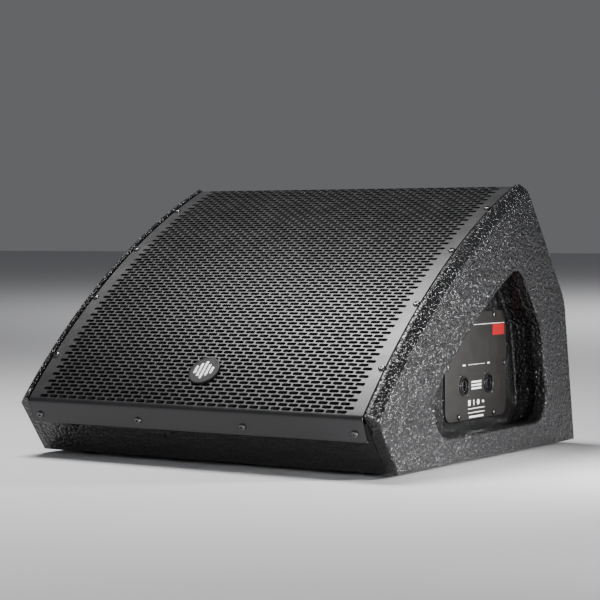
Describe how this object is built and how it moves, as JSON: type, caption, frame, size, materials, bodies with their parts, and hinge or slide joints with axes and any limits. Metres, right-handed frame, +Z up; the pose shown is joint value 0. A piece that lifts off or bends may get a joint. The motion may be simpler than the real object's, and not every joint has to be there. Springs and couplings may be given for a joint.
{
  "type": "stage monitor wedge",
  "caption": "Low floor monitor loudspeaker: wedge cabinet, curved perforated grille, side handle openings with a connector plate, coaxial driver on a sprung cone.",
  "frame": {"origin": "on the floor under the centre of the cabinet", "axes": "+Z up, +X to the right seen from the front, +Y to the back; the grille faces up and to -Y"},
  "size_m": [0.5, 0.5028, 0.3284],
  "materials": {
    "textured_paint": "coarse black textured paint on birch plywood",
    "bare_ply": "plywood with one thin coat of matt black",
    "grille_coat": "satin charcoal powder coat on perforated steel",
    "open_cell_foam": "black open-cell foam",
    "badge_face": "dark grey anodised disc with white print",
    "plate_coat": "dark grey satin powder coat on steel",
    "socket_plastic": "black moulded polyamide",
    "black_steel": "black passivated steel",
    "cast_alloy": "black powder-coated casting",
    "ferrite_magnet": "dark grey ferrite between zinc-plated steel plates",
    "cone_paper": "black treated paper",
    "surround_cloth": "black doped cloth",
    "spider_cloth": "amber resin-treated cloth",
    "coil_copper": "enamelled copper wire",
    "horn_plastic": "black moulded plastic",
    "titanium_foil": "bare titanium foil",
    "board_laminate": "green glass-fibre laminate",
    "capacitor_film": "yellow film wrap",
    "cable_pvc": "black PVC",
    "port_plastic": "black moulded plastic",
    "foot_rubber": "black rubber",
    "polyester_wadding": "white polyester wadding"
  },
  "bodies": {
    "cabinet": {"badge": "badge_face", "baffle": "bare_ply", "bottom_panel": "textured_paint", "capacitor_horn": "capacitor_film", "capacitor_woofer": "capacitor_film", "chin_panel": "textured_paint", "connector_plate": "plate_coat", "crossover_board": "board_laminate", "foot_front_left": "foot_rubber", "foot_front_right": "foot_rubber", "foot_rear_left": "foot_rubber", "foot_rear_right": "foot_rubber", "grille": "grille_coat", "grille_foam": "open_cell_foam", "grille_rail_left": "bare_ply", "grille_rail_right": "bare_ply", "handle_well_left": "textured_paint", "handle_well_right": "textured_paint", "hf_driver": "cast_alloy", "hf_lead": "cable_pvc", "horn": "horn_plastic", "inductor_horn": "coil_copper", "inductor_woofer": "coil_copper", "input_lead": "cable_pvc", "input_socket": "socket_plastic", "link_socket": "socket_plastic", "lip_screw_1": "black_steel", "lip_screw_2": "black_steel", "lip_screw_3": "black_steel", "lip_screw_4": "black_steel", "plate_screw_1": "black_steel", "plate_screw_2": "black_steel", "plate_screw_3": "black_steel", "plate_screw_4": "black_steel", "plate_screw_5": "black_steel", "plate_screw_6": "black_steel", "port_tube_left": "port_plastic", "port_tube_right": "port_plastic", "rear_panel": "textured_paint", "rear_slope_panel": "textured_paint", "side_panel_left": "textured_paint", "side_panel_right": "textured_paint", "side_screw_1": "black_steel", "side_screw_2": "black_steel", "side_screw_3": "black_steel", "side_screw_4": "black_steel", "side_screw_5": "black_steel", "side_screw_6": "black_steel", "side_screw_7": "black_steel", "side_screw_8": "black_steel", "wadding": "polyester_wadding", "woofer_basket": "cast_alloy", "woofer_lead": "cable_pvc", "woofer_magnet": "ferrite_magnet", "woofer_spider": "spider_cloth", "woofer_surround": "surround_cloth"},
    "cone": {"woofer_cone": "cone_paper", "voice_coil": "coil_copper"},
    "hf_dome": {"hf_diaphragm": "titanium_foil"}
  },
  "joints": [
    {"name": "cone_travel", "type": "slide", "parent": "cabinet", "child": "cone", "axis": [0, -0.5807, 0.8141], "range_m": [-0.006, 0.006], "stiffness_N_per_m": 2500, "deforming": ["woofer_surround", "woofer_spider"]},
    {"name": "hf_dome_travel", "type": "slide", "parent": "cabinet", "child": "hf_dome", "axis": [0, -0.5807, 0.8141], "range_m": [-0.0003, 0.0003], "stiffness_N_per_m": 500}
  ]
}
